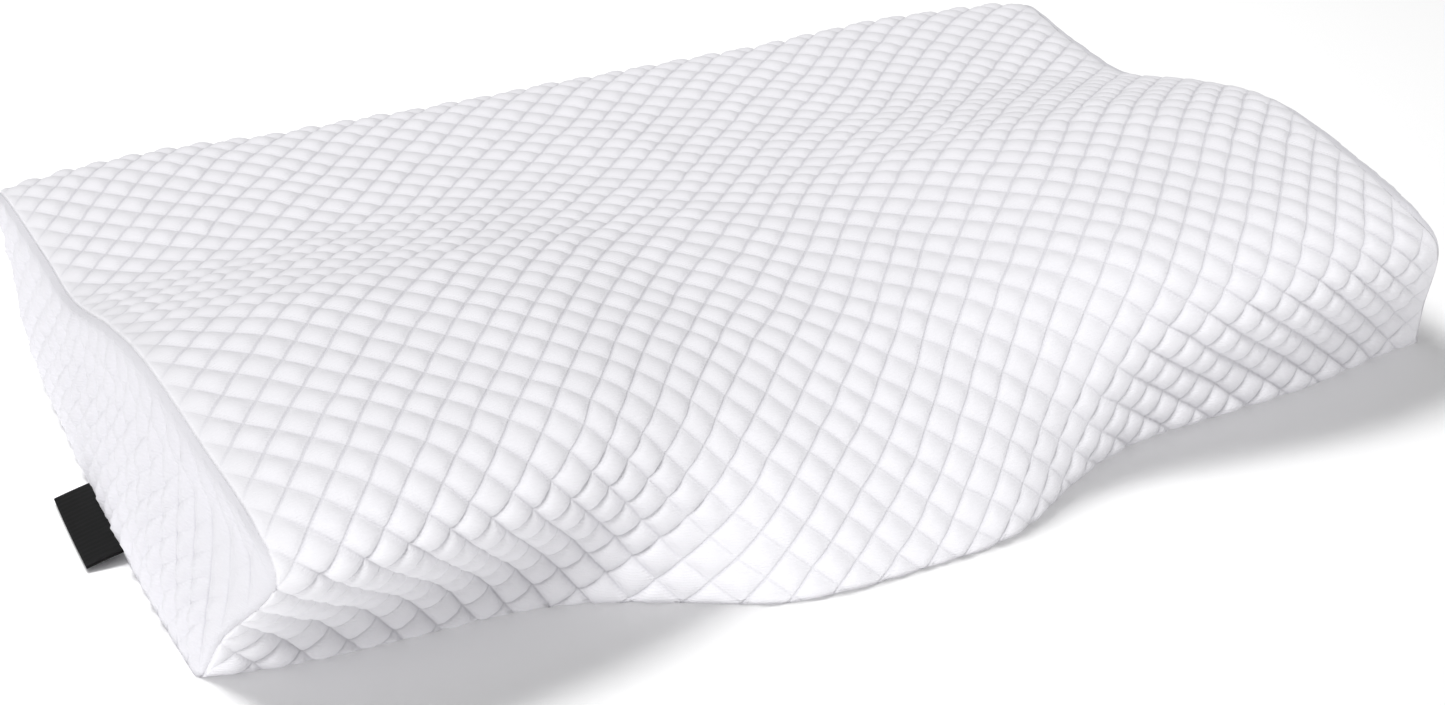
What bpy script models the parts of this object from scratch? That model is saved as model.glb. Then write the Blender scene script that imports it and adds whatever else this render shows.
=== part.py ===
"""Contoured cervical pillow with two raised front wings, a quilted wrap panel and quilted ends.

Frame: metres, +Z up. The pillow lies on the plane z = 0 on its flat underside. +X runs along its
length, -Y is the front with the two wings, and the origin is in the middle of the length.
"""
import bpy
import bmesh
import numpy as np

# Driving dimensions in millimetres
MM = 0.001
SEAM_GAP = 0.3
QUILT_RISE = 2.2
COLUMNS = 62
FRONT_ROWS = 9
TOP_ROWS = 38
BACK_ROWS = 9
ROWS = FRONT_ROWS + TOP_ROWS + BACK_ROWS

# Cross-sections of the foam block, a row for each distance from the middle of the length.
# A point's first column is how far back it lies (y), its second how high (z).
SECTION_NAMES = ("foot", "shin", "nose", "brow", "shoulder", "crown",
                 "slope", "valley", "back", "rim", "heel", "heel_foot")
SECTIONS = {
    0: ((-179, 0), (-170, 19), (-153, 42), (-129, 62), (-98, 78), (-30, 90),
        (25, 86.5), (79, 82.5), (134, 79.5), (199, 76), (210, 42), (203, 0)),
    50: ((-175, 0), (-167, 20), (-151, 45), (-126, 67), (-98, 82), (-30, 91.5),
         (25, 87), (79, 82), (134, 79.5), (199, 76), (210, 42), (203, 0)),
    90: ((-152, 0), (-150, 20), (-146, 48), (-129, 75), (-98, 89), (-30, 97),
         (24, 90), (80, 81.5), (134, 79.5), (199, 76), (210, 42), (203, 0)),
    130: ((-134, 0), (-138, 22), (-147, 56), (-137, 83), (-100, 96), (-32, 102),
          (22, 92.5), (82, 81), (134, 79.5), (199, 76), (210, 42), (203, 0)),
    170: ((-130, 0), (-135, 22), (-154, 62), (-141, 86), (-103, 97.5), (-38, 105),
          (20, 94), (82, 80.5), (134, 79.5), (203.5, 76), (213, 42), (206, 0)),
    220: ((-127, 0), (-133, 22), (-157, 64), (-143, 88), (-103, 98.5), (-40, 106),
          (18, 93.5), (84, 77), (134, 77), (206, 75), (214, 42), (206, 0)),
    276: ((-116, 0), (-125, 22), (-151, 61), (-140, 81), (-103, 93), (-42, 101),
          (14, 91), (84, 72), (136, 71), (206, 71), (211, 40), (203, 0)),
}

# The cover lies a little askew on the foam. For each point of the section above: how far the
# end seams lie from the middle of the length, how far both of them are drawn towards +X, how far
# the left wing is drawn forward and the right wing back, and how far the front bulge is to the left.
SEAM_REACH = (296.5, 291.5, 281, 274.5, 274.5, 276.5, 277, 277, 279, 283, 279, 274)
END_ASKEW = (8.5, 9.5, 9, 0.5, -2.5, -1.5, 2, 6, 11, 17, 19, 16)
WING_ASKEW = (-6, -3, 6, 5, 2, 0, 0, 0, 0, -7, -7, -7)
FRONT_SHIFT = (14, 11, 4, 0, 0, 0, 0, 0, 0, 0, 0, 0)

END_CROWN = 5.0
FOOT_BOW = 6.0
PANEL_THICK = 1.6
PANEL_RIM = 0.8
PANEL_FLOOR = 0.5
LABEL_FIRST_COLUMN = 11
LABEL_COLUMNS = 7
LABEL_ROOT = 5.5
LABEL_REACH = 17.0
LABEL_DROOP = 3.0
LABEL_THICK = 1.2
LABEL_STEPS = 5


def smooth_between(stations, values, at):
    """Cubic curve through values at rising stations, read at one place."""
    i = int(np.clip(np.searchsorted(stations, at) - 1, 0, len(stations) - 2))
    before = max(i - 1, 0)
    after = min(i + 2, len(stations) - 1)
    span = stations[i + 1] - stations[i]
    t = (at - stations[i]) / span
    slope_a = (values[i + 1] - values[before]) / (stations[i + 1] - stations[before])
    slope_b = (values[after] - values[i]) / (stations[after] - stations[i])
    return ((2 * t**3 - 3 * t**2 + 1) * values[i]
            + (t**3 - 2 * t**2 + t) * span * slope_a
            + (3 * t**2 - 2 * t**3) * values[i + 1]
            + (t**3 - t**2) * span * slope_b)


def curve_through(points, steps):
    """Smooth curve through the points, with the same number of steps between each pair."""
    chords = np.linalg.norm(np.diff(points[:, :2], axis=0), axis=1)
    knots = np.concatenate([[0], np.cumsum(np.sqrt(chords))])
    places = [np.linspace(a, b, steps, endpoint=False) for a, b in zip(knots, knots[1:])]
    return np.array([smooth_between(knots, points, t) for t in np.append(places, knots[-1])])


def section_points(x):
    """The section's named points at one place along the length, as y and z."""
    near = sorted(SECTIONS)
    stations = np.array([-s for s in reversed(near[1:])] + near, float)
    half = [np.array(SECTIONS[s], float) for s in near]
    table = np.array(list(reversed(half[1:])) + half)
    wing = min(abs(x) / 120, 1)
    points = []
    for i in range(len(SECTION_NAMES)):
        at = np.clip(x + FRONT_SHIFT[i], stations[0], stations[-1])
        point = smooth_between(stations, table[:, i], at)
        point[0] += WING_ASKEW[i] * wing * x / 220
        points.append(point)
    return np.array(points)


def section_rows(x):
    """The section as evenly spaced rows from the front foot over the top to the back foot.

    Each row is y, z, how far the end seams reach there and how far they are drawn askew.
    """
    steps = 16
    points = section_points(x)
    seams = np.array([SEAM_REACH, END_ASKEW], float).T
    curve = curve_through(np.hstack([points, seams]), steps)
    lengths = np.linalg.norm(np.diff(curve[:, :2], axis=0), axis=1)
    along = np.concatenate([[0], np.cumsum(lengths)])
    brow = along[steps * SECTION_NAMES.index("brow")]
    rim = along[steps * SECTION_NAMES.index("rim")]
    places = np.concatenate([
        np.linspace(0, brow, FRONT_ROWS + 1)[:-1],
        np.linspace(brow, rim, TOP_ROWS + 1)[:-1],
        np.linspace(rim, along[-1], BACK_ROWS + 1)])
    return np.stack([np.interp(places, along, curve[:, i]) for i in range(4)], axis=1)


def wrap_grid():
    """Points where the wrap panel's stitch lines cross, by column along X and row round the section."""
    widest = max(SECTIONS)
    grid = np.zeros((COLUMNS + 1, ROWS + 1, 3))
    for i in range(COLUMNS + 1):
        share = 2 * i / COLUMNS - 1
        rows = section_rows(share * widest)
        grid[i, :, 0] = share * rows[:, 2] + abs(share) ** 3 * rows[:, 3]
        grid[i, :, 1:] = rows[:, :2]
    grid[:, 0, 2] = 0
    grid[:, -1, 2] = 0
    return grid


def normals_of(grid):
    """Unit normals of a grid of points, turning from the first index to the second."""
    along = np.gradient(grid, axis=0)
    across = np.gradient(grid, axis=1)
    normals = np.cross(along, across)
    return normals / np.linalg.norm(normals, axis=2, keepdims=True)


def quilted(grid, rise, facing):
    """Raise every other point, the middle of each diamond, and leave the stitch lines low."""
    normals = normals_of(grid) * facing
    raised = grid.copy()
    for i in range(1, grid.shape[0] - 1):
        for j in range(1, grid.shape[1] - 1):
            if (i + j) % 2:
                raised[i, j] += normals[i, j] * rise
    return raised


def add_cells(mesh, verts):
    """Fill a grid of vertices with triangles split along the stitch lines."""
    for i in range(len(verts) - 1):
        for j in range(len(verts[0]) - 1):
            a, b = verts[i][j], verts[i + 1][j]
            c, d = verts[i + 1][j + 1], verts[i][j + 1]
            pair = ((a, b, c), (a, c, d)) if (i + j) % 2 == 0 else ((a, b, d), (b, c, d))
            for face in pair:
                mesh.faces.new(face)


def add_rim(mesh, outside, inside):
    """Join the borders of two grids of vertices, one over the other, with a strip of faces."""
    last_i, last_j = len(outside) - 1, len(outside[0]) - 1
    ring = ([(i, 0) for i in range(last_i)] + [(last_i, j) for j in range(last_j)]
            + [(i, last_j) for i in range(last_i, 0, -1)] + [(0, j) for j in range(last_j, 0, -1)])
    for (a, b), (c, d) in zip(ring, ring[1:] + ring[:1]):
        mesh.faces.new((outside[a][b], inside[a][b], inside[c][d], outside[c][d]))


def end_patch(edge, side):
    """Crowned surface across one end, by column from front to back and row from foot to top.

    The edge is the end column of the wrap grid. The patch blends its four sides.
    """
    front = edge[:FRONT_ROWS + 1]
    top = edge[FRONT_ROWS:FRONT_ROWS + TOP_ROWS + 1]
    back = edge[FRONT_ROWS + TOP_ROWS:][::-1]
    share = np.linspace(0, 1, TOP_ROWS + 1)[:, None]
    floor = edge[0] * (1 - share) + edge[-1] * share
    floor[:, 0] += side * FOOT_BOW * (4 * share * (1 - share))[:, 0]
    patch = np.zeros((TOP_ROWS + 1, FRONT_ROWS + 1, 3))
    for i in range(TOP_ROWS + 1):
        u = i / TOP_ROWS
        for j in range(FRONT_ROWS + 1):
            v = j / FRONT_ROWS
            sides = (1 - u) * front[j] + u * back[j]
            rails = (1 - v) * floor[i] + v * top[i]
            corners = ((1 - u) * ((1 - v) * edge[0] + v * top[0])
                       + u * ((1 - v) * edge[-1] + v * top[-1]))
            patch[i, j] = sides + rails - corners
            patch[i, j, 0] += side * END_CROWN * 4 * v * (1 - v) * min(1, 6 * u, 6 * (1 - u))
    return patch


def make_object(name, mesh, color, roughness, collection):
    """Turn a finished mesh in millimetres into a named object with its own material."""
    bmesh.ops.triangulate(mesh, faces=[f for f in mesh.faces if len(f.verts) > 3])
    bmesh.ops.recalc_face_normals(mesh, faces=mesh.faces)
    bmesh.ops.scale(mesh, vec=(MM, MM, MM), verts=mesh.verts)
    data = bpy.data.meshes.new(name)
    mesh.to_mesh(data)
    mesh.free()
    obj = bpy.data.objects.new(name, data)
    collection.objects.link(obj)
    material = bpy.data.materials.new(name + "_cloth")
    material.use_nodes = True
    shader = material.node_tree.nodes["Principled BSDF"]
    shader.inputs["Base Color"].default_value = (*color, 1)
    shader.inputs["Roughness"].default_value = roughness
    shader.inputs["Metallic"].default_value = 0
    data.materials.append(material)
    return obj


def build_body(grid, patches, collection):
    """Foam in its quilted wrap panel: quilted round the section, crowned ends, flat underside."""
    mesh = bmesh.new()
    skin = [[mesh.verts.new(point) for point in column] for column in quilted(grid, QUILT_RISE, 1)]
    add_cells(mesh, skin)
    floors = []
    for side, patch in patches.items():
        edge = skin[0] if side < 0 else skin[-1]
        verts = [[None] * (FRONT_ROWS + 1) for _ in range(TOP_ROWS + 1)]
        for i in range(TOP_ROWS + 1):
            for j in range(FRONT_ROWS + 1):
                if i == 0:
                    verts[i][j] = edge[j]
                elif i == TOP_ROWS:
                    verts[i][j] = edge[ROWS - j]
                elif j == FRONT_ROWS:
                    verts[i][j] = edge[FRONT_ROWS + i]
                else:
                    verts[i][j] = mesh.verts.new(patch[i, j])
        add_cells(mesh, verts)
        floors.append([column[0] for column in verts])
    front = [column[0] for column in skin]
    back = [column[-1] for column in skin]
    left, right = floors
    mesh.faces.new(left[1:] + back[1:] + right[::-1][1:] + front[::-1][1:])
    return make_object("body", mesh, (0.82, 0.81, 0.85), 0.9, collection)


def panel_face(patch, side):
    """Outer face of an end panel: the end's surface moved out, quilted, and thin at its rim."""
    outer = quilted(patch, QUILT_RISE, side)
    outer[:, :, 0] += side * (SEAM_GAP + PANEL_THICK)
    rim = side * (SEAM_GAP + PANEL_RIM)
    for i in range(TOP_ROWS + 1):
        for j in range(FRONT_ROWS + 1):
            if i in (0, TOP_ROWS) or j in (0, FRONT_ROWS):
                outer[i, j, 0] = patch[i, j, 0] + rim
    outer[:, 0, 2] = PANEL_FLOOR
    return outer


def build_panel(name, patch, side, collection):
    """Quilted end panel, a thin sheet on the foam's end with its own raised diamonds."""
    mesh = bmesh.new()
    outer = panel_face(patch, side)
    inner = patch.copy()
    inner[:, :, 0] += side * SEAM_GAP
    inner[:, 0, 2] = PANEL_FLOOR
    outside = [[mesh.verts.new(point) for point in column] for column in outer]
    inside = [[mesh.verts.new(point) for point in column] for column in inner]
    add_cells(mesh, outside)
    add_cells(mesh, inside)
    add_rim(mesh, outside, inside)
    return make_object(name, mesh, (0.80, 0.79, 0.83), 0.9, collection)


def build_label(patch, side, collection):
    """Short woven tab caught in the bottom seam of the left end, folded at its free edge."""
    outer = panel_face(patch, side)
    mesh = bmesh.new()
    tops, bottoms = [], []
    for i in range(LABEL_FIRST_COLUMN, LABEL_FIRST_COLUMN + LABEL_COLUMNS + 1):
        low, high = outer[i, 0], outer[i, 1]
        top, bottom = [], []
        for step in range(LABEL_STEPS + 1):
            out = step / LABEL_STEPS
            height = LABEL_ROOT - LABEL_DROOP * out
            for row, z in ((bottom, height), (top, height + LABEL_THICK)):
                root_z = z + LABEL_DROOP * out
                root = low + (high - low) * (root_z - low[2]) / (high[2] - low[2])
                start = root[0] + side * SEAM_GAP
                x = start * (1 - out) + (low[0] + side * LABEL_REACH) * out
                row.append(mesh.verts.new((x, root[1], z)))
        tops.append(top)
        bottoms.append(bottom)
    add_cells(mesh, tops)
    add_cells(mesh, bottoms)
    add_rim(mesh, tops, bottoms)
    return make_object("label", mesh, (0.02, 0.02, 0.022), 0.7, collection)


for old in list(bpy.data.objects):
    bpy.data.objects.remove(old)
pillow = bpy.data.collections.new("cervical_pillow")
bpy.context.scene.collection.children.link(pillow)
wrap = wrap_grid()
ends = {-1: end_patch(wrap[0], -1), 1: end_patch(wrap[-1], 1)}
build_body(wrap, ends, pillow)
build_panel("end_panel_left", ends[-1], -1, pillow)
build_panel("end_panel_right", ends[1], 1, pillow)
build_label(ends[-1], -1, pillow)
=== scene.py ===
"""Looks of the contoured cervical pillow: quilted knit cover, quilted ends and a blank woven tab."""
import bpy
import bmesh
import math
import numpy as np
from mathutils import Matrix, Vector


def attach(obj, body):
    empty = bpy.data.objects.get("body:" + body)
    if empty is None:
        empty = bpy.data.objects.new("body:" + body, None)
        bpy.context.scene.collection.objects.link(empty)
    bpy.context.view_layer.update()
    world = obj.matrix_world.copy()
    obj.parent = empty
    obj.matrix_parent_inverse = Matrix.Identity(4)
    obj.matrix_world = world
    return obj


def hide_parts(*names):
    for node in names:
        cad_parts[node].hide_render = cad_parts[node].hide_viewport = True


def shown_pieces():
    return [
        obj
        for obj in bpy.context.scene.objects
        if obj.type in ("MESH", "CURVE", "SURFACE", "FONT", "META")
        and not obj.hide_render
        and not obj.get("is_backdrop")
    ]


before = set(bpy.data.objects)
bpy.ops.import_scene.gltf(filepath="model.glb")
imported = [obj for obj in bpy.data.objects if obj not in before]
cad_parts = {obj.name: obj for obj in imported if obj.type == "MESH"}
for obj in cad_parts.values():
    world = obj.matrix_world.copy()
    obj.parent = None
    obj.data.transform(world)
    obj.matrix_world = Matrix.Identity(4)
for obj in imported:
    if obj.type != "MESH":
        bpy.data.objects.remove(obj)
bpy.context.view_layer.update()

# Wrap panel: one length of knit, quilted in diamonds over thin wadding, goes round the foam block
# and closes under it. It is drawn tight over the foam, so its stitch lines follow the contours.
MM = 0.001
SECTION_NAMES = ("foot", "shin", "nose", "brow", "shoulder", "crown",
                 "slope", "valley", "back", "rim", "heel", "heel_foot")
SECTIONS = {
    0: ((-179, 0), (-170, 19), (-153, 42), (-129, 62), (-98, 78), (-30, 90),
        (25, 86.5), (79, 82.5), (134, 79.5), (199, 76), (210, 42), (203, 0)),
    50: ((-175, 0), (-167, 20), (-151, 45), (-126, 67), (-98, 82), (-30, 91.5),
         (25, 87), (79, 82), (134, 79.5), (199, 76), (210, 42), (203, 0)),
    90: ((-152, 0), (-150, 20), (-146, 48), (-129, 75), (-98, 89), (-30, 97),
         (24, 90), (80, 81.5), (134, 79.5), (199, 76), (210, 42), (203, 0)),
    130: ((-134, 0), (-138, 22), (-147, 56), (-137, 83), (-100, 96), (-32, 102),
          (22, 92.5), (82, 81), (134, 79.5), (199, 76), (210, 42), (203, 0)),
    170: ((-130, 0), (-135, 22), (-154, 62), (-141, 86), (-103, 97.5), (-38, 105),
          (20, 94), (82, 80.5), (134, 79.5), (203.5, 76), (213, 42), (206, 0)),
    220: ((-127, 0), (-133, 22), (-157, 64), (-143, 88), (-103, 98.5), (-40, 106),
          (18, 93.5), (84, 77), (134, 77), (206, 75), (214, 42), (206, 0)),
    276: ((-116, 0), (-125, 22), (-151, 61), (-140, 81), (-103, 93), (-42, 101),
          (14, 91), (84, 72), (136, 71), (206, 71), (211, 40), (203, 0)),
}
SEAM_REACH = (296.5, 291.5, 281, 274.5, 274.5, 276.5, 277, 277, 279, 283, 279, 274)
END_ASKEW = (8.5, 9.5, 9, 0.5, -2.5, -1.5, 2, 6, 11, 17, 19, 16)
WING_ASKEW = (-6, -3, 6, 5, 2, 0, 0, 0, 0, -7, -7, -7)
FRONT_SHIFT = (14, 11, 4, 0, 0, 0, 0, 0, 0, 0, 0, 0)
WIDEST = max(SECTIONS)
COLUMNS = 62
TOP_ROWS = 38
UNDER_ROWS = 34
ROW_PITCH = 9.15
FINE = 4
QUILT_RISE = 2.4
SOFT_PUFF = 2.0
CRISP_PUFF = 3.2
SEAM_SINK = 1.2
SEAM_WIDTH = 4.0
SEAM_FADE = 13.0
SEAM_ALLOWANCE = 12.0
STITCH_WANDER = 0.5
CREASE_DEPTH = 2.0
FOOT_BOW = 6.0
CREASE_REACH = 2.2
WING_STARTS = 95
WING_ENDS = 285
LUMP_HEIGHT = 0.5
ROLL_RISE = 0.4
LEFT_SLACK = 1.0
RIGHT_SLACK = 0.7


def smooth_between(stations, values, at):
    """Cubic curve through values at rising stations, read at one place."""
    i = int(np.clip(np.searchsorted(stations, at) - 1, 0, len(stations) - 2))
    before = max(i - 1, 0)
    after = min(i + 2, len(stations) - 1)
    span = stations[i + 1] - stations[i]
    t = (at - stations[i]) / span
    slope_a = (values[i + 1] - values[before]) / (stations[i + 1] - stations[before])
    slope_b = (values[after] - values[i]) / (stations[after] - stations[i])
    return ((2 * t**3 - 3 * t**2 + 1) * values[i]
            + (t**3 - 2 * t**2 + t) * span * slope_a
            + (3 * t**2 - 2 * t**3) * values[i + 1]
            + (t**3 - t**2) * span * slope_b)


def curve_through(points, steps):
    """Smooth curve through the points, with the same number of steps between each pair."""
    chords = np.linalg.norm(np.diff(points[:, :2], axis=0), axis=1)
    knots = np.concatenate([[0], np.cumsum(np.sqrt(chords))])
    places = [np.linspace(a, b, steps, endpoint=False) for a, b in zip(knots, knots[1:])]
    return np.array([smooth_between(knots, points, t) for t in np.append(places, knots[-1])])


def section_curve(x):
    """The foam's section at x: columns are y, z, seam reach, seam askew and length so far.

    The last two values are how long the curve is up to the brow and up to the back rim.
    """
    near = sorted(SECTIONS)
    stations = np.array([-s for s in reversed(near[1:])] + near, float)
    half = [np.array(SECTIONS[s], float) for s in near]
    table = np.array(list(reversed(half[1:])) + half)
    wing = min(abs(x) / 120, 1)
    points = []
    for i in range(len(SECTION_NAMES)):
        at = np.clip(x + FRONT_SHIFT[i], stations[0], stations[-1])
        point = smooth_between(stations, table[:, i], at)
        point[0] += WING_ASKEW[i] * wing * x / 220
        points.append(point)
    steps = 16
    seams = np.array([SEAM_REACH, END_ASKEW], float).T
    curve = curve_through(np.hstack([np.array(points), seams]), steps)
    lengths = np.linalg.norm(np.diff(curve[:, :2], axis=0), axis=1)
    along = np.concatenate([[0], np.cumsum(lengths)])
    brow = along[steps * SECTION_NAMES.index("brow")]
    rim = along[steps * SECTION_NAMES.index("rim")]
    return np.column_stack([curve, along]), brow, rim


def read_section(curve, at):
    """Points of a section at lengths along it, running on under the foam past either foot."""
    along = curve[:, 4]
    rows = np.stack([np.interp(at, along, curve[:, i]) for i in range(4)], axis=1)
    rows[:, 0] += np.clip(-at, 0, None)
    rows[:, 0] -= np.clip(at - along[-1], 0, None)
    return rows


def wrap_points():
    """Points all round the foam by column and row, and the columns' and rows' stitch places.

    Rows are numbered up the front face, over the top and down the back, then on under the foam.
    """
    wide = COLUMNS * FINE + 1
    ends = [section_curve(s * WIDEST) for s in np.linspace(-1, 1, COLUMNS + 1)]
    front_rows = math.ceil(max(brow for _, brow, _ in ends) / ROW_PITCH) + 1
    back_rows = math.ceil(max(c[-1, 4] - rim for c, _, rim in ends) / ROW_PITCH) + 1
    rows = front_rows + TOP_ROWS + back_rows
    row = np.linspace(-front_rows, TOP_ROWS + back_rows, rows * FINE + 1)
    under = np.linspace(0, 1, UNDER_ROWS + 1)[1:, None]
    column = np.linspace(-COLUMNS / 2, COLUMNS / 2, wide)
    wander = soft_noise((wide, len(row)), 10, 21) + 0.8 * soft_noise((wide, len(row)), 4, 22)
    sway = soft_noise((wide, len(row)), 10, 23) + 0.8 * soft_noise((wide, len(row)), 4, 24)
    base = np.zeros((wide, len(row) + UNDER_ROWS, 3))
    for i, share in enumerate(np.linspace(-1, 1, wide)):
        curve, brow, rim = section_curve(share * WIDEST)
        at = brow + row * (rim - brow) / TOP_ROWS
        at = np.where(row < 0, brow + row * ROW_PITCH, at)
        at = np.where(row > TOP_ROWS, rim + (row - TOP_ROWS) * ROW_PITCH, at)
        points = read_section(curve, at + STITCH_WANDER * wander[i])
        around = np.zeros((len(row), 3))
        around[:, 0] = share * points[:, 2] + abs(share) ** 3 * points[:, 3]
        around[:, 0] += STITCH_WANDER * sway[i] * (1 - share**8)
        around[:, 1:] = points[:, :2]
        beneath = around[-1] * (1 - under) + around[0] * under
        beneath[:, 0] += share * abs(share) ** 7 * FOOT_BOW * (4 * under * (1 - under))[:, 0]
        base[i] = np.vstack([around, beneath])
    return base, column, np.append(row, row[-1] + under[:, 0] * UNDER_ROWS)


def grid_normals(grid):
    """Unit normals of a grid of points, turning from the first index to the second."""
    normals = np.cross(np.gradient(grid, axis=0), np.gradient(grid, axis=1))
    return normals / np.linalg.norm(normals, axis=2, keepdims=True)


def soft_noise(shape, cell, seed):
    """Smooth noise between -1 and 1 over a grid, with lumps about one cell of points wide."""
    knots = np.random.default_rng(seed).uniform(-1, 1, (shape[0] // cell + 3, shape[1] // cell + 3))
    rise = []
    for size in shape:
        place = np.arange(size) / cell
        whole = place.astype(int)
        part = place - whole
        rise.append((whole, part * part * (3 - 2 * part)))
    (i, a), (j, b) = rise
    a, b = a[:, None], b[None, :]
    low = knots[np.ix_(i, j)] * (1 - a) + knots[np.ix_(i + 1, j)] * a
    high = knots[np.ix_(i, j + 1)] * (1 - a) + knots[np.ix_(i + 1, j + 1)] * a
    return low * (1 - b) + high * b


def off_lines(column, row):
    """How far each point is from the nearest falling and rising stitch line, from 0 to 1."""
    u, v = column[:, None], row[None, :]
    return 1 - np.abs((u + v) % 2 - 1), 1 - np.abs((u - v) % 2 - 1)


def puffs(column, row, soft, crisp, depth, seed):
    """Height of the quilting from 0 on a stitch line to about 1 in the middle of a diamond.

    The falling lines are softer, and below a depth of 1 they are shallower too.
    """
    off_falling, off_rising = off_lines(column, row)
    u, v = column[:, None], row[None, :]
    cells = np.random.default_rng(seed).uniform(0.82, 1.15, (256, 256))
    fill = cells[np.floor((u + v) / 2).astype(int) % 256, np.floor((u - v) / 2).astype(int) % 256]
    return fill * (1 - depth * (1 - off_falling) ** soft) * (1 - (1 - off_rising) ** crisp)


def quilt_mesh(name, points, column, row, fullness, end_wall):
    """Closed mesh on a grid of points, its faces cut along the stitch lines it carries as UVs.

    Its fullness attribute tells the material where the quilting fades out beside a seam.
    end_wall is the vector by which a sheet's back lies behind its front. Without one, the grid
    is a tube: its last row is joined to its first, and its open ends are turned in and filled.
    """
    mesh = bmesh.new()
    bmesh.ops.create_grid(mesh, x_segments=len(column) - 1, y_segments=len(row) - 1, size=1)
    uv = mesh.loops.layers.uv.new("stitches")
    full = mesh.verts.layers.float.new("fullness")
    order = sorted(mesh.verts, key=lambda vert: (round(vert.co.x, 5), round(vert.co.y, 5)))
    mesh.verts.index_update()
    place = {}
    for vert, (i, j) in zip(order, np.ndindex(len(column), len(row))):
        vert.co = Vector(points[i, j]) * MM
        vert[full] = fullness[i, j]
        place[vert.index] = Vector((column[i] / 2, row[j] / 2))
    falling = []
    rising = []
    for face in mesh.faces:
        face.smooth = True
        for loop in face.loops:
            loop[uv].uv = place[loop.vert.index]
        middle = sum((loop[uv].uv for loop in face.loops), Vector((0, 0))) / 4
        to_fall = abs((middle.x + middle.y + 0.5) % 1 - 0.5)
        to_rise = abs((middle.x - middle.y + 0.5) % 1 - 0.5)
        (falling if to_fall < to_rise else rising).append(face)
    bmesh.ops.triangulate(mesh, faces=falling, quad_method="ALTERNATE")
    bmesh.ops.triangulate(mesh, faces=rising, quad_method="FIXED")
    if end_wall is None:
        bmesh.ops.remove_doubles(mesh, verts=mesh.verts[:], dist=0.00001)
        rims = [edge for edge in mesh.edges if edge.is_boundary]
        turned = bmesh.ops.extrude_edge_only(mesh, edges=rims)["geom"]
        for vert in (part for part in turned if isinstance(part, bmesh.types.BMVert)):
            vert.co.x *= 1 - SEAM_ALLOWANCE / WIDEST
            vert.co.y *= 0.96
            vert.co.z = vert.co.z * 0.9 + 0.002
        bmesh.ops.holes_fill(mesh, edges=[edge for edge in mesh.edges if edge.is_boundary])
    else:
        back = bmesh.ops.extrude_face_region(mesh, geom=mesh.faces[:], use_keep_orig=True)["geom"]
        behind = [part for part in back if isinstance(part, bmesh.types.BMVert)]
        bmesh.ops.translate(mesh, verts=behind, vec=Vector(end_wall) * MM)
    bmesh.ops.recalc_face_normals(mesh, faces=mesh.faces[:])
    data = bpy.data.meshes.new(name)
    mesh.to_mesh(data)
    mesh.free()
    piece = bpy.data.objects.new(name, data)
    bpy.context.collection.objects.link(piece)
    return piece


base, column, row = wrap_points()
normals = grid_normals(base)
outward = np.sign(column)[:, None, None] * np.array([1.0, 0, 0])
from_seam = (COLUMNS / 2 - np.abs(column))[:, None] * 2 * WIDEST / COLUMNS
tuck = np.clip(1 - from_seam / SEAM_WIDTH, 0, 1)
lean = normals + outward * tuck[:, :, None]
lean /= np.linalg.norm(lean, axis=2, keepdims=True)
fullness = np.clip(from_seam / SEAM_FADE, 0, 1) ** 0.8
rise = QUILT_RISE * puffs(column, row, SOFT_PUFF, CRISP_PUFF, 1, 3) * fullness
rise += LUMP_HEIGHT * soft_noise(base.shape[:2], 14, 5) * fullness
# Under the two wings the front face turns in, and the slack cloth folds there along its
# falling stitch lines into a few long, deep creases with plump rolls between them.
across_x = base[:, :, 0]
wing_share = np.clip((np.abs(across_x) - WING_STARTS) / 40, 0, 1)
wing_share = wing_share * np.clip((WING_ENDS - np.abs(across_x)) / 30, 0, 1)
under_share = np.clip(-row / 4, 0, 1) ** 0.7
slack = wing_share * under_share * np.where(across_x < 0, LEFT_SLACK, RIGHT_SLACK)
off_falling, off_rising = off_lines(column, row)
line_gap = 2 * WIDEST / COLUMNS * math.sqrt(2)
fold = np.exp(-((off_falling * line_gap / CREASE_REACH) ** 2))
rise += slack * (ROLL_RISE * (1 - fold) * (1 - (1 - off_rising) ** 4) - CREASE_DEPTH * fold)
rise -= SEAM_SINK * tuck**2
rise *= np.clip(base[:, :, 2] / 3, 0, 1)
cover = base + lean * rise[:, :, None]
cover[:, :, 2] = np.maximum(cover[:, :, 2], 0)
wrap = quilt_mesh("wrap_cover", cover, column, row, fullness + 0 * row, None)
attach(wrap, "root")
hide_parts("body")


def linear(hex_color):
    """An sRGB hex colour as the linear values a shader takes."""
    parts = [int(hex_color[i:i + 2], 16) / 255 for i in (1, 3, 5)]
    return tuple(p / 12.92 if p <= 0.04045 else ((p + 0.055) / 1.055) ** 2.4 for p in parts) + (1,)


def add_node(tree, kind, settings=None, **links):
    """Add a node, set its sockets and properties, and link its inputs by socket name."""
    node = tree.nodes.new(kind)
    for key, value in (settings or {}).items():
        if key in node.inputs:
            node.inputs[key].default_value = value
        else:
            setattr(node, key, value)
    for key, source in links.items():
        tree.links.new(source, node.inputs[key.replace("_", " ")])
    return node


def fabric(name, base_color, roughness, sheen):
    """Cloth material with a plain colour: the material, its tree and its shader."""
    material = bpy.data.materials.new(name)
    material.use_nodes = True
    tree = material.node_tree
    shader = tree.nodes["Principled BSDF"]
    shader.inputs["Base Color"].default_value = linear(base_color)
    shader.inputs["Roughness"].default_value = roughness
    shader.inputs["Sheen Weight"].default_value = sheen
    return material, tree, shader


# Bleached polyester jacquard knit: a matt white with a faint blue cast, fine courses of loops
# about 1 mm apart across the puffs, and painted shade: a slightly darker colour along the creases
# where the two layers are joined.
STITCH_SPACING = 17.8
LOOP_SPACING = 1.1
CREASE_WIDTH = 0.9


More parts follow.
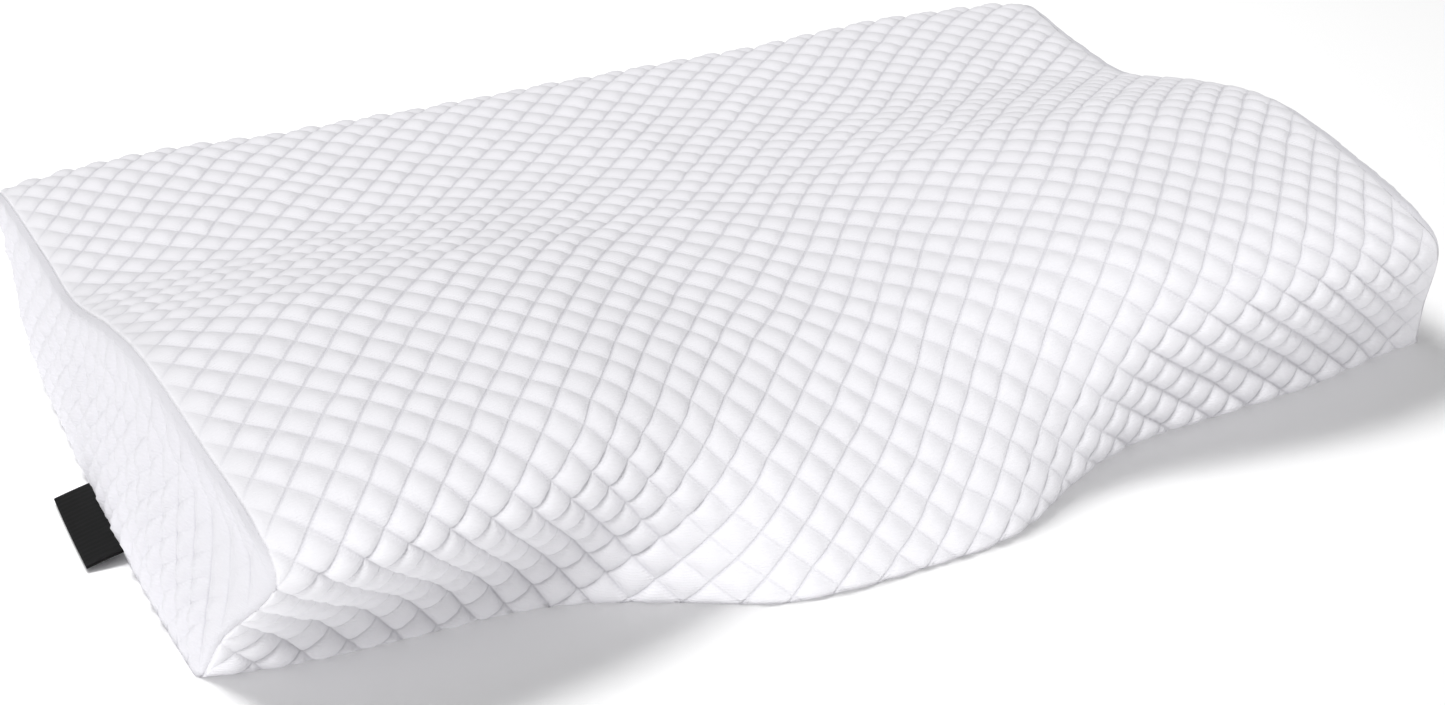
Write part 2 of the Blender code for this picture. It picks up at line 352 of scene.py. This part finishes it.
def knit_material(name, knit_color, painted_crease_shade, falling_fade):
    """Quilted knit whose creases, darkened with painted shade, follow the stitches UV map and fade
    with the fullness.

    falling_fade is how far the painted shade of the falling creases fades, from 0, as dark as the
    others, to 1.
    """
    knit, tree, shader = fabric(name, knit_color, 0.85, 0.1)
    stitches = add_node(tree, "ShaderNodeUVMap", {"uv_map": "stitches"})
    split = add_node(tree, "ShaderNodeSeparateXYZ", Vector=stitches.outputs["UV"])
    creases = []
    for operation in ("ADD", "SUBTRACT"):
        line = add_node(tree, "ShaderNodeMath", {"operation": operation})
        tree.links.new(split.outputs["X"], line.inputs[0])
        tree.links.new(split.outputs["Y"], line.inputs[1])
        nearest = add_node(tree, "ShaderNodeMath", {"operation": "PINGPONG"})
        tree.links.new(line.outputs["Value"], nearest.inputs[0])
        nearest.inputs[1].default_value = 0.5
        softness = falling_fade if operation == "ADD" else 0.0
        reach = CREASE_WIDTH / (STITCH_SPACING / math.sqrt(2))
        edge = add_node(tree, "ShaderNodeMapRange",
                        {"interpolation_type": "SMOOTHSTEP", "From Max": reach, "To Min": softness},
                        Value=nearest.outputs["Value"])
        creases.append(edge.outputs["Result"])
    crossed = add_node(tree, "ShaderNodeMath", {"operation": "MULTIPLY"})
    tree.links.new(creases[0], crossed.inputs[0])
    tree.links.new(creases[1], crossed.inputs[1])
    full = add_node(tree, "ShaderNodeAttribute", {"attribute_name": "fullness"})
    crease = add_node(tree, "ShaderNodeMix", {"A": 1.0}, Factor=full.outputs["Fac"],
                      B=crossed.outputs["Value"])
    # The tint turns the base colour to the crease colour on the stitch lines. This is painted shade
    # in the creases, and the fullness fades it beside the seams.
    tint = add_node(tree, "ShaderNodeMix", {"data_type": "RGBA"}, Factor=crease.outputs["Result"])
    tint.inputs[6].default_value = linear(painted_crease_shade)
    tint.inputs[7].default_value = linear(knit_color)
    tree.links.new(tint.outputs[2], shader.inputs["Base Color"])
    scaled = add_node(tree, "ShaderNodeVectorMath", {"operation": "SCALE"})
    tree.links.new(stitches.outputs["UV"], scaled.inputs[0])
    scaled.inputs["Scale"].default_value = STITCH_SPACING / LOOP_SPACING
    loops = add_node(tree, "ShaderNodeTexNoise", {"Scale": 1.6, "Detail": 2.0, "Roughness": 0.6},
                     Vector=scaled.outputs["Vector"])
    courses = add_node(tree, "ShaderNodeTexWave",
                       {"bands_direction": "Y", "Scale": 0.32, "Distortion": 2.5, "Detail": 2.0,
                        "Detail Scale": 1.5}, Vector=scaled.outputs["Vector"])
    groove = add_node(tree, "ShaderNodeBump", {"Strength": 0.6, "Distance": 0.0006},
                      Height=crease.outputs["Result"])
    ribs = add_node(tree, "ShaderNodeBump", {"Strength": 0.35, "Distance": 0.0002},
                    Height=courses.outputs["Fac"], Normal=groove.outputs["Normal"])
    grain = add_node(tree, "ShaderNodeBump", {"Strength": 0.45, "Distance": 0.0003},
                     Height=loops.outputs["Fac"], Normal=ribs.outputs["Normal"])
    tree.links.new(grain.outputs["Normal"], shader.inputs["Normal"])
    return knit


wrap.data.materials.append(knit_material("polyester_knit", "#e6e5e9", "#d9d8dd", 0.5))

# End panels: a quilted gusset is sewn round each end of the wrap, with a plain turned seam. The
# foam crowns it, and it is gathered along the seam, so its diamonds stand as narrow upright ribs
# that fade out beside the stitching and where the wing's front corner stretches the cloth.
PANEL_COLUMNS = 44
FRONT_ROWS = 8
END_CROWN = 5.0
PANEL_LIFT = 1.9
PANEL_RISE = 4.6
PANEL_THICK = 1.5
RIM_ROLL = 6.5
RIM_PLAIN = 1.5
RIB_SOFTNESS = 2.0
RIB_CRISPNESS = 1.5
RIB_BREAKS = 0.4
RIB_BED = 0.25
RIBS_FADE_BELOW = 14
FOOT_TUCK = 5
GATHER = 0.2
CLOTH_WANDER = 0.8
STRETCHED_AT = (-128, 58)
STRETCHED_SIZE = (20, 24)
STRETCHED_SHARE = 0.75


def end_surface(side):
    """Crowned surface across one end, blended from its seam: by column, then row from the floor."""
    curve, brow, rim = section_curve(side * WIDEST)
    across = np.linspace(0, 1, PANEL_COLUMNS * FINE + 1)
    across = (1 + GATHER - np.sqrt((1 + GATHER) ** 2 - 4 * GATHER * across)) / (2 * GATHER)
    up = np.linspace(0, 1, FRONT_ROWS * FINE + 1)

    def seam(at):
        rows = read_section(curve, at)
        return np.column_stack([side * rows[:, 2] + rows[:, 3], rows[:, :2]])

    front = seam(up * brow)
    top = seam(brow + across * (rim - brow))
    back = seam(curve[-1, 4] + up * (rim - curve[-1, 4]))
    u, v = across[:, None, None], up[None, :, None]
    floor_line = front[0] * (1 - u) + back[0] * u
    sides = (1 - u) * front[None] + u * back[None]
    floor_line[:, :, 0] += side * FOOT_BOW * (4 * u * (1 - u))[:, :, 0]
    rails = (1 - v) * floor_line + v * top[:, None]
    corners = (1 - u) * ((1 - v) * front[0] + v * front[-1]) + u * ((1 - v) * back[0] + v * back[-1])
    surface = sides + rails - corners
    wander = soft_noise(surface.shape[:2], 10, 31) + 0.8 * soft_noise(surface.shape[:2], 4, 32)
    inner = (16 * u * (1 - u) * v * (1 - v))[:, :, 0] ** 0.3
    surface[:, :, 1] += CLOTH_WANDER * wander * inner
    ease = np.clip(6 * np.minimum(u, 1 - u), 0, 1)
    surface[:, :, 0] += side * END_CROWN * (4 * v * (1 - v) * ease)[:, :, 0]
    return surface, across


def seam_vectors(side):
    """How the wrap's edge leans along one end's seam, with the lengths that they are read at."""
    edge = 0 if side < 0 else -1
    curve, brow, rim = section_curve(side * WIDEST)
    turns = np.linalg.norm(np.diff(base[edge, :, 1:], axis=0), axis=1)
    along = np.concatenate([[0], np.cumsum(turns)])
    lengths = along - along[np.argmin(np.linalg.norm(base[edge, :, 1:] - curve[0, :2], axis=1))]
    return lengths, lean[edge]


# The ends' knit is a darker copy of the wrap's knit, as painted shade on the end faces. Its crease
# colour is painted shade in the creases.
shaded_gusset_knit = knit_material("polyester_knit_gusset", "#d6d5da", "#c6c5cc", 0.85)
for side, name in ((-1, "end_cover_left"), (1, "end_cover_right")):
    face, u = end_surface(side)
    curve, brow, rim = section_curve(side * WIDEST)
    lengths, leans = seam_vectors(side)
    panel_column = np.linspace(0, PANEL_COLUMNS, face.shape[0])
    panel_row = np.linspace(0, FRONT_ROWS, face.shape[1])
    rim_across = np.minimum(u, 1 - u)[:, None] * (rim - brow)
    rim_up = (1 - panel_row / FRONT_ROWS)[None, :] * brow
    from_rim = np.minimum(rim_across, rim_up)
    u = u[:, None] + 0 * from_rim
    v = (panel_row / FRONT_ROWS)[None, :] + 0 * from_rim
    back_at = curve[-1, 4] + v * (rim - curve[-1, 4])
    place = np.where(u < 0.5, v * brow, back_at)
    place = np.where(rim_up <= rim_across, brow + u * (rim - brow), place)
    rim_lean = np.stack([np.interp(place, lengths, leans[:, k]) for k in range(3)], axis=2)
    closeness = np.clip(1 - from_rim / RIM_ROLL, 0, 1)
    fullness = np.clip((from_rim - RIM_PLAIN) / SEAM_FADE, 0, 1)
    from_patch = (face[:, :, 1:] - np.array(STRETCHED_AT)) / np.array(STRETCHED_SIZE)
    stretched = np.exp(-(from_patch[:, :, 0] ** 2) - from_patch[:, :, 1] ** 2)
    fullness *= 1 - STRETCHED_SHARE * stretched
    lift = PANEL_LIFT * np.sqrt(1 - closeness**2)
    ribs = puffs(panel_column, panel_row, RIB_SOFTNESS, RIB_CRISPNESS, RIB_BREAKS, 11 + side)
    ribs -= RIB_BED
    lift += PANEL_RISE * ribs * fullness * np.clip(face[:, :, 2] / RIBS_FADE_BELOW, 0, 1)
    lift *= np.clip(face[:, :, 2] / FOOT_TUCK, 0.8, 1)
    panel = face + np.array([side, 0, 0]) * lift[:, :, None]
    panel -= rim_lean * (SEAM_SINK * closeness**2)[:, :, None]
    panel[:, :, 2] = np.maximum(panel[:, :, 2], 0.3)
    gusset = quilt_mesh(name, panel, panel_column, panel_row, fullness, (-side * PANEL_THICK, 0, 0))
    gusset.data.materials.append(shaded_gusset_knit)
    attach(gusset, "root")
    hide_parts("end_panel_left" if side < 0 else "end_panel_right")

# Tab: a strip of plain woven satin tape, folded in two and caught in the left end's bottom seam.
# Two layers of tape make it stiff, so it stands out from the seam and droops only a little.
TAB_ALONG = (-16.5, 43.5)
TAB_ROOT = 5.5
TAB_REACH = 16.0
TAB_DROOP = 3.2
TAB_THICK = 1.1
TAB_BEDDED = 2.5
end_curve = section_curve(-WIDEST)[0]
turn = np.linspace(0, np.pi, 7)
out = np.concatenate([np.linspace(-TAB_BEDDED, TAB_REACH, 12), TAB_REACH + 0.5 * np.sin(turn[1:-1]),
                      np.linspace(TAB_REACH, -TAB_BEDDED, 12)])
half = np.concatenate([np.ones(12), np.cos(turn[1:-1]), -np.ones(12)]) * TAB_THICK / 2
tab_along = np.linspace(*TAB_ALONG, 31)
tab_points = np.zeros((len(tab_along), len(out), 3))
tab_share = np.clip(out / TAB_REACH, 0, 1)
front_foot = -SEAM_REACH[0] + END_ASKEW[0]
back_foot = -SEAM_REACH[-1] + END_ASKEW[-1]
for i, y in enumerate(tab_along):
    across = (y - end_curve[0, 0]) / (end_curve[-1, 0] - end_curve[0, 0])
    root = front_foot + (back_foot - front_foot) * across
    root -= PANEL_LIFT + FOOT_BOW * 4 * across * (1 - across)
    bend = 0.5 * math.sin(3.0 * (y - TAB_ALONG[0]) / (TAB_ALONG[1] - TAB_ALONG[0]))
    tab_points[i, :, 0] = root - out
    tab_points[i, :, 1] = y
    tab_points[i, :, 2] = TAB_ROOT + half - (TAB_DROOP + bend) * tab_share**1.2
tab_mesh = bmesh.new()
bmesh.ops.create_grid(tab_mesh, x_segments=len(tab_along) - 1, y_segments=len(out) - 1, size=1)
order = sorted(tab_mesh.verts, key=lambda vert: (round(vert.co.x, 5), round(vert.co.y, 5)))
for vert, (i, j) in zip(order, np.ndindex(len(tab_along), len(out))):
    vert.co = Vector(tab_points[i, j]) * MM
tape_uv = tab_mesh.loops.layers.uv.new("threads")
for face in tab_mesh.faces:
    face.smooth = True
    for loop in face.loops:
        loop[tape_uv].uv = (loop.vert.co.y, -loop.vert.co.x)
bmesh.ops.holes_fill(tab_mesh, edges=[edge for edge in tab_mesh.edges if edge.is_boundary])
bmesh.ops.recalc_face_normals(tab_mesh, faces=tab_mesh.faces[:])
tab_data = bpy.data.meshes.new("blank_tab")
tab_mesh.to_mesh(tab_data)
tab_mesh.free()
tab = bpy.data.objects.new("blank_tab", tab_data)
bpy.context.collection.objects.link(tab)
# Woven polyester satin: deep black, with a low sheen along its threads and a fine rib across them.
THREAD_SPACING = 0.5
satin, tree, shader = fabric("woven_satin_tape", "#060607", 0.6, 0.0)
shader.inputs["Specular IOR Level"].default_value = 0.25
threads = add_node(tree, "ShaderNodeUVMap", {"uv_map": "threads"})
weave = add_node(tree, "ShaderNodeTexWave",
                 {"bands_direction": "X", "Scale": 1 / (THREAD_SPACING * MM * 20), "Distortion": 0.6},
                 Vector=threads.outputs["UV"])
shade = add_node(tree, "ShaderNodeMix", {"data_type": "RGBA"})
tree.links.new(weave.outputs["Fac"], shade.inputs[0])
shade.inputs[6].default_value = linear("#020202")
shade.inputs[7].default_value = linear("#080809")
tree.links.new(shade.outputs[2], shader.inputs["Base Color"])
rib = add_node(tree, "ShaderNodeBump", {"Strength": 0.4, "Distance": 0.0001},
               Height=weave.outputs["Fac"])
tree.links.new(rib.outputs["Normal"], shader.inputs["Normal"])
tab.data.materials.append(satin)
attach(tab, "root")
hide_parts("label")

# Floor, light and camera: a white paper sweep under the pillow. A broad sun high on the front left
# lights the pillow, and a softbox above and behind it lights the paper and throws the shadow.
FLOOR_HALF = 6
SKY_STRENGTH = 0.42
KEY_STRENGTH = 2.3
KEY_BREADTH = 22
WASH_POWER = 31.5
WASH_SIZE = 0.7
floor_mesh = bmesh.new()
bmesh.ops.create_grid(floor_mesh, x_segments=1, y_segments=1, size=FLOOR_HALF)
floor_data = bpy.data.meshes.new("floor")
floor_mesh.to_mesh(floor_data)
floor_mesh.free()
floor = bpy.data.objects.new("floor", floor_data)
bpy.context.collection.objects.link(floor)
paper, tree, shader = fabric("white_paper", "#ffffff", 0.9, 0.0)
shader.inputs["Emission Color"].default_value = (1, 1, 1, 1)
# The paper glows a little, so that it lights the pillow from below as a broad white sweep does.
GLOW_SEEN = 0.0
GLOW_CAST = 0.3
rays = add_node(tree, "ShaderNodeLightPath")
glow = add_node(tree, "ShaderNodeMapRange", {"To Min": GLOW_CAST, "To Max": GLOW_SEEN},
                Value=rays.outputs["Is Camera Ray"])
tree.links.new(glow.outputs["Result"], shader.inputs["Emission Strength"])
floor_data.materials.append(paper)
floor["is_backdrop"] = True

CAMERA_PLACE = (-0.5165, -0.9163, 0.5498)
CAMERA_TURN = -29.35
CAMERA_FALL = 26.89
LENS = 64.8
camera_data = bpy.data.cameras.new("camera")
camera_data.lens = LENS
camera_data.sensor_width = 36
camera = bpy.data.objects.new("camera", camera_data)
camera.location = CAMERA_PLACE
camera.rotation_euler = (math.radians(90 - CAMERA_FALL), 0, math.radians(CAMERA_TURN))
bpy.context.collection.objects.link(camera)
bpy.context.scene.camera = camera


def aimed_lamp(name, kind, place, energy, seen_by):
    """Lamp aimed at the origin that lights only the given objects."""
    data = bpy.data.lights.new(name, kind)
    data.energy = energy
    lamp = bpy.data.objects.new(name, data)
    lamp.location = place
    lamp.rotation_euler = (-Vector(place)).to_track_quat("-Z", "Y").to_euler()
    bpy.context.collection.objects.link(lamp)
    lit = bpy.data.collections.new(name + "_receivers")
    for piece in seen_by:
        lit.objects.link(piece)
    lamp.light_linking.receiver_collection = lit
    return data


key = aimed_lamp("key", "SUN", (-1.35, -1.1, 2.45), KEY_STRENGTH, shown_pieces())
key.angle = math.radians(KEY_BREADTH)
wash = aimed_lamp("floor_wash", "AREA", (-0.45, 0.6, 1.8), WASH_POWER, [floor])
wash.size = WASH_SIZE
bpy.context.scene.view_settings.view_transform = "Standard"
world = bpy.data.worlds.new("studio")
world.use_nodes = True
world.node_tree.nodes["Background"].inputs["Color"].default_value = (1, 1, 1, 1)
world.node_tree.nodes["Background"].inputs["Strength"].default_value = SKY_STRENGTH
bpy.context.scene.world = world
